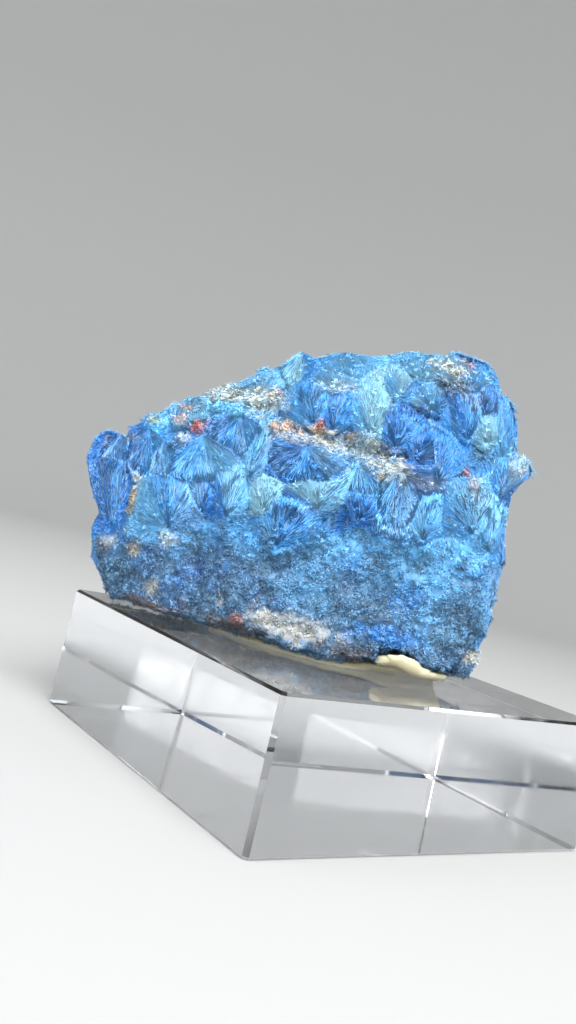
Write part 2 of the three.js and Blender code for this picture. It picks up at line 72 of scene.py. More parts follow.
# The best side's fans: a tone for each facet, the apex, then the rim as (s, z, height). A facet's
# tone is partly its own blue and partly painted light and shade: facets that face up are painted
# paler, those that face down deeper.
FRONT_FANS = [
    ("DMD", (-19.7, 15.8, -0.9), (-23, 21.2, -1.3), (-21.3, 21.6, -0.3), (-19.6, 21.4, 0),
     (-18.9, 19, -0.3)),
    ("DIDM", (-21.1, 23.7, -1.4), (-22.9, 23.4, -1.7), (-23.1, 21.1, -1.3), (-21.3, 21.5, -0.3),
     (-19.6, 21.3, 0), (-19.3, 23.1, -0.7)),
    ("DDMM", (-17.9, 24.4, 0.8), (-19.8, 23.6, 0), (-19.4, 21.2, 0.1), (-18.3, 20.8, 0.2),
     (-16.9, 21, 0.7), (-16.5, 23.8, 0.5)),
    ("PPMMV", (-14.3, 17.1, 0.2), (-16.9, 16.8, 0.9), (-17.3, 18.8, 1), (-17, 20.6, 1),
     (-15.3, 21.1, 1.3), (-13.5, 20.9, 1.1), (-12.7, 19.4, 0.6)),
    ("GVL", (-16.5, 23.9, 0.3), (-17.2, 22.4, 0.6), (-17, 20.6, 1.05), (-15.2, 21.2, 1.35),
     (-14.9, 22.6, 0.8)),
    ("MLLPPV", (-13.2, 24.7, 0.2), (-15.4, 23.4, 0.5), (-15.2, 21.2, 1.35), (-13.4, 20.9, 1.2),
     (-12, 21.4, 0.8), (-10.4, 21.9, 0.7), (-9.6, 23.2, 0.5), (-10.8, 24.2, 0.2)),
    ("VD", (-11.8, 18.9, 0.3), (-13.4, 20.6, 0.8), (-12.4, 21.7, 0.7), (-11.2, 20.6, 0.5)),
    ("DGGP", (-9.7, 19, 1), (-12.3, 21.8, 0.2), (-11.1, 22.1, 0.8), (-9.9, 23.1, 0.6),
     (-8.9, 22.6, 0.5), (-8.5, 20.8, 0.2)),
    ("WWW", (-7, 20, 1.1), (-8.4, 21, 0.3), (-8.2, 22.4, 0.3), (-6.2, 22.4, 0.3),
     (-5.9, 21.4, 0.7)),
    ("LMIM", (-5.6, 17.8, 0.2), (-7, 19.4, 0.5), (-6.4, 21.2, 1.1), (-4.7, 21.5, 1.2),
     (-3.4, 20.9, 1), (-3.2, 19.8, 0.5)),
    ("IWWGG", (-3.2, 21.1, 1.3), (-6, 21.5, 0.8), (-6, 22.3, 0.2), (-4.4, 23.1, 0.1),
     (-2.3, 23.3, 0.3), (-1.1, 24.6, 0.5), (-1.3, 22.7, 0.8)),
    ("IIMV", (-4.95, 25.4, 1.2), (-7.6, 25.2, 0.5), (-7.6, 23.4, 0.1), (-6, 22.4, 0),
     (-3, 23.2, 0.1), (-2.3, 24.7, 0.5)),
    ("PL", (-1, 25.1, 0.3), (-1.3, 22.8, 1), (0.7, 22.9, 1.15), (0.6, 24.6, 0.5)),
    ("DD", (-0.1, 21, 0.2), (-1.3, 22.8, 1), (0.6, 23, 1.15), (1.1, 21.8, 0.6)),
    ("PLVVDD", (2.1, 25.3, 0.9), (0.7, 24.2, 0.5), (0.9, 22.6, 0.6), (1.7, 21, 0.6),
     (3.4, 20.9, 0.8), (4.1, 23.5, 0.3), (5.2, 24.4, 0.2), (5.3, 26.2, 0.6)),
    ("PPL", (4.8, 20.7, 0.9), (3.6, 21.9, 0.3), (4.1, 23.9, 0.4), (5.4, 24.1, 0.3),
     (5.8, 22, 0.2)),
    ("LPGP", (8.4, 22, 0.3), (6.2, 22.4, 0.5), (5.9, 25.1, 0.9), (7.6, 25.3, 1.2),
     (9.3, 24.9, 0.6), (9.9, 23.2, -0.2)),
    ("PPL", (9.9, 21, -0.4), (8.6, 22.6, 0.5), (9.4, 24.8, 0.3), (10.6, 23.6, -1.1),
     (10.9, 21.4, -1.3)),
    ("PGG", (-15.8, 27.7, -1.3), (-17.2, 26.3, -0.6), (-15.4, 25.6, 0.6), (-13.4, 26.2, 0.6),
     (-14, 28, -1)),
    ("IMVL", (-10.6, 26.9, 0.9), (-12.8, 25.6, 0.4), (-12.4, 24.1, 0.2), (-10.6, 23.7, 0.2),
     (-9.3, 24.4, 0.5), (-8.9, 26.4, 0.8)),
    ("PPV", (-8.7, 22.2, 1), (-9.3, 24.6, 0.5), (-8.9, 26.8, 0.3), (-7.8, 26.2, 0.2),
     (-7.7, 23.6, 0.3)),
    ("GGP", (-9.2, 28.4, 0.7), (-12.6, 27.2, 0.4), (-11.3, 29.1, -0.4), (-9.8, 30.5, -0.9),
     (-7.7, 30.4, 0)),
    ("PWM", (-7.4, 33, -0.8), (-8.9, 31.4, -1.1), (-8, 30.2, 0.3), (-6.6, 30, 0.8),
     (-5.9, 31.8, -0.2)),
    ("LMM", (-5.1, 27.3, 0.2), (-7.1, 28.1, 0.4), (-7, 30.1, 0.9), (-5.2, 30.3, 1.2),
     (-4.3, 29.3, 0.9)),
    ("DM", (-3.6, 27.1, 0.2), (-4.4, 29.4, 0.9), (-2.9, 30.3, 1.2), (-2.2, 28.7, 0.6)),
    ("PGP", (-4.1, 29.9, 1.3), (-5.9, 30.6, 0.7), (-5.2, 31.9, -0.1), (-3.1, 31.9, -0.2),
     (-2.4, 30.9, 0.6)),
    ("LPP", (-4.2, 33.7, -1.5), (-6, 32.8, -1.2), (-5.2, 31.7, 0.1), (-2.6, 31.7, 0.2),
     (-1.4, 33.6, -1.4)),
    ("PWWW", (-0.6, 27.3, 1), (-2.3, 28.6, 0.6), (-2.4, 30.6, 0.3), (-1.4, 32.2, -0.2),
     (0.1, 30.5, 0.3), (0.4, 28.6, 0.4)),
    ("DDDMM", (1.4, 26.9, 0.1), (0.1, 28, 0.5), (0.1, 29.5, 1.1), (1.4, 29.8, 1.3),
     (2.6, 29.2, 0.9), (2.7, 28, 0.5)),
    ("IDI", (3, 26.3, 0.2), (2.5, 27.8, 0.5), (3.2, 28.7, 1.1), (4.3, 28.3, 1.1),
     (4.7, 26.6, 0.6)),
    ("PDM", (4.9, 24.9, 0.7), (4.3, 27, 0.9), (3.7, 29, 1), (5.2, 28.7, 0.4), (6, 26.8, 0.3)),
    ("PWL", (0.8, 30.5, 1.1), (-0.4, 31.6, 0.2), (0.2, 33.1, -0.6), (1.7, 32.7, -0.3),
     (1.6, 30.8, 0.7)),
    ("GPL", (3.4, 30.3, 1.1), (1.8, 30.6, 0.9), (2.4, 32.4, 0.1), (4.1, 32.7, 0.1),
     (4.5, 30.8, 0.7)),
    ("MDML", (6.6, 28.9, 0.2), (4.6, 29.4, 0.8), (4.2, 31.2, 0.9), (5, 32.2, 1),
     (6.5, 32.2, 1.1), (7.2, 30.8, 0.8)),
    ("WWW", (7.9, 28.9, 1.1), (6.9, 29.4, 0.7), (7.1, 31.1, 0.3), (8.1, 31.2, 0.2),
     (8.8, 29.5, 0.4)),
    ("III", (7.5, 30.9, 0.3), (6.6, 31.4, 0.7), (6.8, 33.2, 1), (8.1, 32.9, 0.6),
     (8.4, 31.7, 0.2)),
    ("PMLMP", (9.3, 28.2, 0.8), (8.5, 29.8, 0.3), (8.5, 32.2, -0.2), (8.9, 33.3, -1.2),
     (9.7, 32.6, -1.4), (10.4, 30.6, -1.3), (10.4, 29, -0.9)),
    ("GLL", (5.8, 32.2, 1), (3.3, 33.2, 0.5), (4, 35.6, -0.9), (6.8, 35.5, -1),
     (7.5, 33.9, -0.4)),
    ("PPG", (2, 32.4, 0.5), (0.2, 33.7, -0.9), (2.2, 34.9, -1.2), (3.7, 34.9, -0.7),
     (3.6, 33.2, 0.3)),
    ("LGGD", (9.7, 25.1, 0.3), (9.4, 28, 0.8), (10.8, 28.8, -0.4), (11.6, 28.7, -0.8),
     (12.2, 27.9, -1), (11, 26.2, -0.9)),
]

# The guessed fans of the ends and the top: (s, q, z, turn, tilt, reach, spin)
END_FANS = [
    (10.9, -3.4, 20.2, 75, 5, 2.2, 0.4), (11.2, -1, 15.4, 82, -5, 2.3, 2),
    (10.5, 0.6, 21.8, 90, 5, 2.5, 3.4), (10.2, -1.6, 27.4, 85, 8, 2.3, 1.2),
    (9.5, 0.6, 31.2, 90, 30, 2.2, 5), (7, -1.6, 34.4, 40, 65, 2.2, 0.8),
    (3, 0, 34.5, 0, 80, 2.5, 2.6), (-2.4, -1.4, 33.6, 0, 75, 2.4, 4.4),
    (-7, 0.4, 31.6, -20, 66, 2.3, 1.9), (-11.4, -1, 29, -15, 66, 2.4, 3.1),
    (-15.6, 0, 26.5, -20, 60, 2.2, 5.4), (-20.7, 0.2, 15.4, -85, -5, 1.6, 2.2),
    (-20.3, 1, 20.2, -100, 15, 2.1, 0.3), (-19.6, 1.2, 12.7, -95, -30, 2, 3.9),
]
HIDDEN_RIM = 6
HIDDEN_APEX_HEIGHT = 0.7
HIDDEN_TONES = "MLDPVMGLIM"

# The back's guessed fans stand on a staggered grid, whose first place and step are (s, z)
HIDDEN_COLUMNS = 5
HIDDEN_ROWS = 3
HIDDEN_FIRST = (-17.2, 14.6)
HIDDEN_STEP = (5.2, 6.2)

# Where the fans end and the felted rock below them begins, as (s, z)
FAN_FOOT = [
    (-24, 15.4), (-19.7, 15.6), (-16, 16.6), (-14.3, 17), (-9.7, 18.8), (-6, 17.6), (-3, 19.6),
    (0, 20.6), (4, 20.4), (8, 21.8), (13, 21.4),
]

# Colours in sRGB, the single letters for the tones of facets. On the best side's fans the paler and
# deeper letters are partly the facets' own blues and partly painted light and shade of their
# slopes.
COLOURS = {
    "W": (164, 226, 254),
    "P": (110, 194, 250),
    "L": (84, 176, 246),
    "M": (62, 162, 242),
    "D": (44, 138, 226),
    "I": (68, 138, 214),
    "V": (112, 178, 238),
    "G": (128, 198, 244),
    "felt": (70, 128, 174),
    # Partly the felt's own pale colour and partly painted highlight on the needles' tips
    "felt_pale_and_highlight": (164, 204, 230),
    "tan": (206, 200, 176),
    "olive": (146, 146, 104),
    "ochre": (176, 156, 112),
    "rust": (192, 92, 50),
    "salmon": (186, 148, 132),
    "cream": (214, 212, 200),
    "brown": (114, 102, 98),
    "black": (42, 48, 62),
    "cyan": (112, 202, 246),
    "ink": (32, 84, 160),
    # A dark grey-blue of painted shade for the lower felted rock
    "painted_shade_grey": (60, 92, 122),
    "putty": (184, 179, 152),
}

# The patches of these colours are coarse grains, where no rays grow
GRAINY = {"tan", "rust", "salmon", "cream", "brown", "cyan", "olive", "ochre", "black"}

# Coloured patches of the best side: (s, z, half width, half height, colour, strength)
PATCHES = [
    (-13.8, 25.3, 0.8, 0.65, "rust", 1), (-7.7, 26.5, 0.45, 0.4, "rust", 1),
    (-6.9, 26.7, 0.5, 0.4, "rust", 1), (-5.8, 26.4, 0.4, 0.35, "rust", 0.9),
    (-4.5, 27.1, 0.55, 0.5, "rust", 1), (-2.1, 27, 0.3, 0.3, "rust", 0.9),
    (6.9, 26.4, 0.35, 0.4, "rust", 0.8), (5.6, 34.8, 0.5, 0.35, "rust", 0.8),
    (-15.6, 25.6, 0.8, 0.4, "salmon", 0.9), (-15.2, 26.8, 0.9, 0.3, "salmon", 0.9),
    (-8.3, 29.2, 0.7, 0.5, "salmon", 0.8), (7.6, 25.4, 0.6, 0.8, "salmon", 0.6),
    (-12.4, 28.2, 2.6, 0.9, "tan", 0.8), (-8.6, 28.4, 1.6, 1.1, "tan", 0.7),
    (-6, 26.3, 2.6, 0.9, "tan", 0.6), (-1.2, 26.3, 3, 1, "tan", 0.7),
    (1.4, 25.3, 2, 0.9, "tan", 0.8), (4, 24.8, 1.6, 0.5, "tan", 0.55),
    (4.7, 32.8, 2.2, 0.9, "brown", 0.75), (4.4, 34.2, 1.8, 0.7, "tan", 0.8),
    (6.3, 31.7, 1.2, 0.6, "salmon", 0.5), (-21.4, 19, 2.4, 4.4, "ink", 0.55),
    (-5, 29, 1.6, 0.5, "G", 0.5), (7.8, 24.6, 1.2, 0.8, "brown", 0.4),
    (-12, 27.1, 1.5, 0.7, "cyan", 0.9), (-17.4, 25.1, 1.2, 0.8, "cyan", 0.8),
    (-17.7, 25.2, 0.6, 0.35, "olive", 0.9), (-17.9, 18.8, 0.4, 1.5, "ochre", 0.95),
    (-18, 20.4, 0.6, 0.4, "cream", 0.8), (-15.5, 23.5, 0.35, 0.5, "black", 0.8),
    (-14.9, 24.2, 0.9, 0.5, "cream", 0.6), (1.9, 18.2, 0.7, 0.6, "black", 0.5),
    (5.2, 18.8, 0.6, 0.5, "black", 0.5), (8.25, 19.5, 0.4, 0.5, "black", 0.75),
    (-20.3, 14, 0.8, 0.7, "black", 0.5), (-6.3, 18.1, 0.6, 0.95, "black", 0.75),
    (-16.8, 14.8, 0.5, 0.6, "tan", 0.8), (-14.2, 16.4, 0.8, 0.7, "tan", 0.6),
    (-4, 12.3, 3.2, 1, "cream", 0.75), (-14.6, 12.4, 0.9, 0.6, "cream", 0.7),
    (-19.6, 14.9, 0.8, 0.5, "cream", 0.55), (10.4, 12.9, 0.6, 0.4, "cream", 0.9),
    (-14.5, 11, 2.8, 0.4, "brown", 0.9), (-7.6, 11.2, 3.2, 0.7, "brown", 0.8),
    (-7.2, 11.9, 0.6, 0.4, "rust", 0.6), (1.2, 11.4, 2.2, 0.6, "brown", 0.7),
    (4, 13.2, 2.4, 0.8, "D", 0.7), (4.6, 16.4, 1.2, 1.2, "D", 0.4),
    (-2.5, 20.8, 0.5, 0.5, "M", 0.8), (2.1, 30.1, 1.8, 0.5, "ink", 0.7),
    (2, 31.7, 0.8, 0.7, "I", 0.7), (-4, 30.5, 1.6, 0.6, "cream", 0.5),
    (-3, 15, 2.4, 1.6, "P", 0.35), (-8.5, 18.2, 1.2, 0.9, "P", 0.5),
    (7, 14.6, 2, 1.4, "G", 0.35), (-11.5, 14.5, 2, 1.2, "ink", 0.35),
    (0.5, 32.9, 2.6, 0.8, "W", 0.6), (10.7, 27.9, 0.8, 0.8, "cream", 0.5),
    (11.2, 27.4, 0.5, 0.3, "rust", 0.5), (10.3, 26.4, 0.8, 0.8, "ink", 0.8),
    (-22.6, 23, 0.3, 0.5, "cream", 0.7), (-19.8, 23.4, 0.7, 0.25, "cream", 0.6),
]
PATCH_SPAN = 1.2
PATCH_SHARPNESS = 1.6

# Veins of other minerals on the other sides: (wavelength, salt, level, strength)
VEINS = {
    "tan": (2.6, 41, 0.55, 0.8),
    "rust": (1.7, 42, 0.85, 0.9),
    "cream": (2.2, 43, 0.55, 0.7),
    "brown": (2, 44, 0.55, 0.6),
}
VEIN_SHARPNESS = 4

# Layers of noise, each as (height, wavelength in millimetres, salt)
PALE_ROCK = [(0.4, 0.9, 22), (0.5, 2.6, 24)]
DEEP_ROCK = [(0.7, 3.1, 21), (0.5, 1.3, 23)]
ROCK_HEIGHT = [(1, 2.2, 25)]
PATCH_WOBBLE = [(0.45, 0.9, 31), (0.35, 0.35, 32)]
PATCH_SPECKLE = [(0.4, 0.28, 33)]
CRUMBS = [(0.2, 1.1, 52), (0.16, 0.55, 53)]
FELT_SHADOW = [(0.2, 0.5, 63)]
TACK_WAVES = [(0.05, 1.6, 71), (0.03, 0.7, 72)]
TUFT_CLUMPS = [(0.45, 0.8, 91), (0.3, 2, 92)]

# Layers over the direction of a ray from its fan's apex, so without a unit
RIPPLES = [(0.04, 0.11, 51)]
BLADES = [(0.2, 0.09, 61), (0.16, 0.035, 62)]

# How far felted rock turns pale, and how far it darkens to a grey-blue of painted shade towards its
# foot: heights, then the shares at those heights
PALE_BY_HEIGHT = ([16.5, 19.5], [0, 0.6])
PAINTED_SHADE_BY_HEIGHT = ([10.5, 15, 18], [0.85, 0.7, 0])

# How much brighter a fan is with the distance from its apex
BRIGHTER_BY_DISTANCE = ([0.2, 2], [0.97, 1.05])


def to_row(points):
    """From the specimen's frame, in millimetres, to the row frame, in metres."""
    return points @ SPECIMEN_AXES * MM


def to_specimen(points):
    """From the row frame, in metres, to the specimen's frame, in millimetres."""
    return points @ SPECIMEN_AXES.T / MM


def linear(colour):
    """An sRGB colour of 0 to 255 as linear light."""
    value = np.array(colour) / 255
    return np.where(value > 0.04045, ((value + 0.055) / 1.055) ** 2.4, value / 12.92)


LINEAR = {name: linear(colour) for name, colour in COLOURS.items()}


def front_depth(s, z):
    bow = FRONT_BOW * (s - FRONT_BOW_CENTRE) ** 2
    return FRONT_DEPTH + bow + LEAN * np.maximum(0, z - LEAN_HEIGHT)


def back_depth(s, z):
    bow = BACK_BOW * (s - BACK_BOW_CENTRE) ** 2
    return BACK_DEPTH - bow - BACK_LEAN * np.maximum(0, z - LEAN_HEIGHT)


def on_front(s, z, height):
    return np.array([s, front_depth(s, z) - height, z])


def behind_front(points):
    """How far each point is behind the mean surface of the best side."""
    return points[:, 1] - front_depth(points[:, 0], points[:, 2])


def fan_foot(s):
    """The height at which the best side's fans end."""
    return np.interp(s, *np.transpose(FAN_FOOT))


# Noise on a lattice, the same on every run

LATTICE_STEPS = np.array([374761393, 668265263, 1274126177])
SALT_STEP = 1103515245
WORD = 0xFFFFFFFF


def lattice_value(cell, salt):
    """A value from -1 to 1 that follows from the lattice's cell and the salt alone."""
    key = (cell.astype(np.int64) @ LATTICE_STEPS + salt * SALT_STEP) & WORD
    key = ((key ^ (key >> 13)) * LATTICE_STEPS[2]) & WORD
    return (key ^ (key >> 16)) / 2 ** 31 - 1


def noise(points, wavelength, salt):
    """Smooth noise from -1 to 1 at points that are a wavelength's size apart."""
    scaled = points / wavelength
    cell = np.floor(scaled)
    part = scaled - cell
    part = part * part * (3 - 2 * part)
    total = np.zeros(len(points))
    for corner in itertools.product((0, 1), repeat=3):
        weight = np.prod(np.where(corner, part, 1 - part), axis=1)
        total += weight * lattice_value(cell + corner, salt)
    return total


def layered(points, layers, base=0.0):
    """The base value plus the layers of noise."""
    total = base
    for height, wavelength, salt in layers:
        total = total + height * noise(points, wavelength, salt)
    return total


def unit(vectors):
    length = np.linalg.norm(vectors, axis=-1, keepdims=True)
    return vectors / np.maximum(length, 1e-9)


# The fans' facets, as in the part's source

def fan_facets(apex, rim, tones):
    """(apex, next corner, last corner, tone) of each facet."""
    return [(apex, rim[i], rim[i + 1], tones[i]) for i in range(len(rim) - 1)]


def front_fan(tones, *corners):
    apex, *rim = [
        on_front(s, z, height * (FAN_RELIEF if height > 0 else 1)) for s, z, height in corners
    ]
    return fan_facets(apex, rim, tones)


def facing_fan(s, q, z, turn, tilt, reach, spin, tones):
    """A guessed fan, whose own face looks along -q before it is turned and tilted."""
    turned = Matrix.Rotation(math.radians(turn), 3, "Z")
    turned = np.array(turned @ Matrix.Rotation(math.radians(-tilt), 3, "X"))

    def place(across, up, height):
        return turned @ np.array([across, -height, up]) + np.array([s, q, z])

    rim = []
    for i in range(HIDDEN_RIM):
        angle = spin + i * math.pi * 1.2 / (HIDDEN_RIM - 1)
        length = reach * (0.85 + 0.25 * math.cos(i * 2.6 + spin))
        height = 0.15 + 0.4 * math.cos(i * 2.2 + 3 * spin)
        rim.append(place(length * math.cos(angle), length * math.sin(angle), height))
    return fan_facets(place(0, 0, HIDDEN_APEX_HEIGHT), rim, tones)


def hidden_place(column, row):
    s = HIDDEN_FIRST[0] + HIDDEN_STEP[0] * (column + 0.5 * (row % 2)) + math.sin(row * 2.1)
    z = HIDDEN_FIRST[1] + HIDDEN_STEP[1] * row + 0.9 * math.sin(column * 1.7)
    reach = 2.8 + 0.5 * math.sin(column * 1.9 + row)
    return s, back_depth(s, z) - 0.1, z, 180, row * 4 - 4, reach, column * 2.4 + row * 1.3


def all_facets():
    """The facets of every fan, those of the best side first, and the number of those."""
    facets = []
    for fan in FRONT_FANS:
        facets += front_fan(*fan)
    front_count = len(facets)
    places = list(END_FANS)
    for row in range(HIDDEN_ROWS):
        first = row if row > 1 else 0
        places += [hidden_place(column, row) for column in range(first, HIDDEN_COLUMNS)]
    for number, place in enumerate(places):
        tones = [HIDDEN_TONES[(number * 3 + i) % len(HIDDEN_TONES)] for i in range(HIDDEN_RIM)]
        facets += facing_fan(*place, tones)
    return facets, front_count


# The specimen's skin: the CAD solid with finer triangles

def weld(points, faces):
    """One point for each place, and the faces that use them."""
    _, first, which = np.unique(np.round(points, 4), axis=0, return_index=True, return_inverse=True)
    return points[first], which.reshape(-1)[faces]


def cad_triangles(node):
    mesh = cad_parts[node].data
    mesh.calc_loop_triangles()
    points = np.zeros(len(mesh.vertices) * 3)
    mesh.vertices.foreach_get("co", points)
    faces = np.zeros(len(mesh.loop_triangles) * 3, np.int64)
    mesh.loop_triangles.foreach_get("vertices", faces)
    points, faces = weld(to_specimen(points.reshape(-1, 3)), faces.reshape(-1, 3))
    corners = np.sort(faces, axis=1)
    return points, faces[(corners[:, 0] != corners[:, 1]) & (corners[:, 1] != corners[:, 2])]


def face_normals(points, faces):
    a, b, c = points[faces[:, 0]], points[faces[:, 1]], points[faces[:, 2]]
    return np.cross(b - a, c - a)


def refine(points, faces, longest, rounds):
    """Halves every edge over its longest length, with no cracks. Also gives each face's source."""
    source = np.arange(len(faces))
    for _ in range(rounds):
        sides = np.stack([faces, np.roll(faces, -1, axis=1)], axis=2)
        keys = sides.min(axis=2) * len(points) + sides.max(axis=2)
        edges, which = np.unique(keys, return_inverse=True)
        which = which.reshape(-1, 3)
        ends = points[np.stack([edges // len(points), edges % len(points)])]
        middles = ends.mean(axis=0)
        cut = np.linalg.norm(ends[0] - ends[1], axis=1) > longest(middles)
        if not cut.any():
            break
        number = np.full(len(edges), -1)
        number[cut] = len(points) + np.arange(cut.sum())
        points = np.concatenate([points, middles[cut]])
        marks = cut[which]
        count = marks.sum(axis=1)
        first = np.where(count == 1, marks.argmax(axis=1), 0)
        first = np.where(count == 2, (marks.argmin(axis=1) + 1) % 3, first)
        order = (first[:, None] + np.arange(3)) % 3
        a, b, c = np.take_along_axis(faces, order, axis=1).T
        ab, bc, ca = np.take_along_axis(number[which], order, axis=1).T
        splits = {
            0: [(a, b, c)],
            1: [(a, ab, c), (ab, b, c)],
            2: [(ab, b, bc), (a, ab, bc), (a, bc, c)],
            3: [(a, ab, ca), (ab, b, bc), (ca, bc, c), (ab, bc, ca)],
        }
        parts, sources = [], []
        for cuts, triangles in splits.items():
            chosen = count == cuts
            parts += [np.stack(corners, axis=1)[chosen] for corners in triangles]
            sources += [source[chosen]] * len(triangles)
        faces, source = np.concatenate(parts), np.concatenate(sources)
    return points, faces, source


# The longest edges of the skin, on the best side down to a depth behind its mean and elsewhere
FRONT_EDGE = 0.31
FINE_DEPTH = 3.2
OTHER_EDGE = 0.54
REFINE_ROUNDS = 5


def longest_edge(middles):
    return np.where(behind_front(middles) < FINE_DEPTH, FRONT_EDGE, OTHER_EDGE)


def facet_tree(corners):
    triangles = [(3 * i, 3 * i + 1, 3 * i + 2) for i in range(len(corners))]
    return BVHTree.FromPolygons(corners.reshape(-1, 3).tolist(), triangles)


# A CAD triangle is in a facet that is as near and as parallel as this, and beside a near one
IN_FACET = 0.02
SAME_PLANE = 0.995
NEAR_FACET = 1.1

# The best side's fans reach this deep, and its rock faces at most this far backwards
FAN_DEPTH = 3.4
FACES_FRONT = 0.3


def facet_of(points, faces, corners, front_count):
    """The fan facet that each CAD triangle lies in, and the one whose rays it carries on, with
    -1 for neither. Rock between the best side's fans carries on the rays of the fan before it."""
    tree = facet_tree(corners)
    flat = facet_tree(corners[:front_count] * [1, 0, 1])
    normals = unit(face_normals(points, faces))
    centres = points[faces].mean(axis=1)
    zone = (behind_front(centres) < FAN_DEPTH) & (normals[:, 1] < FACES_FRONT)
    zone &= centres[:, 2] > fan_foot(centres[:, 0])
    inside = np.full(len(faces), -1)
    beside = np.full(len(faces), -1)
    for i, centre in enumerate(centres):
        _, facet_normal, index, distance = tree.find_nearest(Vector(centre))
        if distance < IN_FACET and abs(facet_normal.dot(Vector(normals[i]))) > SAME_PLANE:
            inside[i] = beside[i] = index
        elif zone[i]:
            beside[i] = flat.find_nearest(Vector(centre * [1, 0, 1]))[2]
        elif distance < NEAR_FACET:
            beside[i] = index
    return inside, beside


# How far in depth a point is drawn to a fan at most, and how far beside the fan's outline
SNAP_DEPTH = 3.2
SNAP_REACH = 2
SNAP_BELOW_FOOT = 2
SNAP_FACES_FRONT = 0.1


def snap_to_fans(points, faces, corners):
    """Draws rock over a fan of the best side to its facet, and rock beside it partly there.
    Also says which points are in a facet."""
    flat = facet_tree(corners * [1, 0, 1])
    planes = unit(np.cross(corners[:, 1] - corners[:, 0], corners[:, 2] - corners[:, 0]))
    normals = point_normals(points, faces)
    zone = (behind_front(points) < FAN_DEPTH) & (normals[:, 1] < SNAP_FACES_FRONT)
    zone &= points[:, 2] > fan_foot(points[:, 0]) - SNAP_BELOW_FOOT
    snapped = np.zeros(len(points), bool)
    for i in np.flatnonzero(zone):
        nearest, _, index, distance = flat.find_nearest(Vector(points[i] * [1, 0, 1]))
        plane, through = planes[index], corners[index, 0]
        away = np.array(nearest) - through
        depth = through[1] - (plane[0] * away[0] + plane[2] * away[2]) / plane[1]
        if distance < SNAP_REACH and abs(depth - points[i, 1]) < SNAP_DEPTH:
            points[i, 1] += (depth - points[i, 1]) * (1 - distance / SNAP_REACH)
            snapped[i] = distance < IN_FACET
    return snapped


def point_mean(values, faces, count):
    """The mean over each point's faces of a value that each face has."""
    total = np.zeros((count,) + values.shape[1:])
    uses = np.zeros(count)
    for corner in range(3):
        np.add.at(total, faces[:, corner], values)
        np.add.at(uses, faces[:, corner], 1)
    return total / np.maximum(uses, 1).reshape((-1,) + (1,) * (values.ndim - 1))


def point_normals(points, faces):
    return unit(point_mean(face_normals(points, faces), faces, len(points)))


SMOOTHING = 0.6


def smoothed(points, faces, weight, rounds):
    """The points, each drawn by its weight towards the middles of its faces."""
    for _ in range(rounds):
        around = point_mean(points[faces].mean(axis=1), faces, len(points))
        points = points + weight[:, None] * (around - points)
    return points


def blended(values, faces, count, rounds):
    """The values of the faces, blended with those of their neighbours."""
    for _ in range(rounds):
        values = point_mean(values, faces, count)[faces].mean(axis=1)
    return values


def mix(base, colour, weight):
    """The base colours mixed with one colour by the weights."""
    return base + (colour - base) * weight[:, None]


BRIGHTEST = 0.95


def shaded(colour, factor):
    """The colour times the factor, kept from full white with no change of hue."""
    scaled = colour * factor[:, None]
    return scaled / np.maximum(1, scaled.max(axis=1, keepdims=True) / BRIGHTEST)


def rock_colour(points):
    """The colour of felted rock: paler under the fans, duller and darker towards its foot with
    painted shade.
    """
    pale = np.clip(layered(points, PALE_ROCK, 0.1), 0, 0.7)
    deep = np.clip(layered(points, DEEP_ROCK), 0, 0.8)
    colour = mix(np.tile(LINEAR["felt"], (len(points), 1)), LINEAR["P"], pale)
    colour = mix(colour, LINEAR["D"], deep)
    height = layered(points, ROCK_HEIGHT, points[:, 2])
    colour = mix(colour, LINEAR["P"], np.interp(height, *PALE_BY_HEIGHT))
    return mix(colour, LINEAR["painted_shade_grey"], np.interp(height, *PAINTED_SHADE_BY_HEIGHT))


# Behind the best side's mean, patches end at the first depth and veins begin at the second
PATCH_DEPTH = 2.6
VEIN_DEPTH = 1.6


def paint(points, colour):
    """Adds the patches: those of the best side by place, those of the other sides by noise.
    Also says from 0 to 1 how far a place is coarse grains, where no rays grow."""
    wobble = layered(points, PATCH_WOBBLE, 1)
    speckle = np.clip(layered(points, PATCH_SPECKLE, 0.9), 0, 1)
    behind = behind_front(points)
    front = behind < PATCH_DEPTH
    grains = np.zeros(len(points))
    for s, z, half_width, half_height, name, strength in PATCHES:
        away = np.hypot((points[:, 0] - s) / half_width, (points[:, 2] - z) / half_height)
        inside = np.clip(PATCH_SHARPNESS * (PATCH_SPAN - away * wobble), 0, 1)
        weight = strength * inside * front * speckle
        colour = mix(colour, LINEAR[name], weight)
        if name in GRAINY:
            grains = np.maximum(grains, weight)
    hidden = np.clip(behind - VEIN_DEPTH, 0, 1)
    for name, (wavelength, salt, level, strength) in VEINS.items():
        value = layered(points, [(1, wavelength, salt), (0.4, 0.7, salt + 10)])
        weight = strength * hidden * np.clip((value - level) * VEIN_SHARPNESS, 0, 1)
        colour = mix(colour, LINEAR[name], weight)
        grains = np.maximum(grains, weight)
    return colour, grains


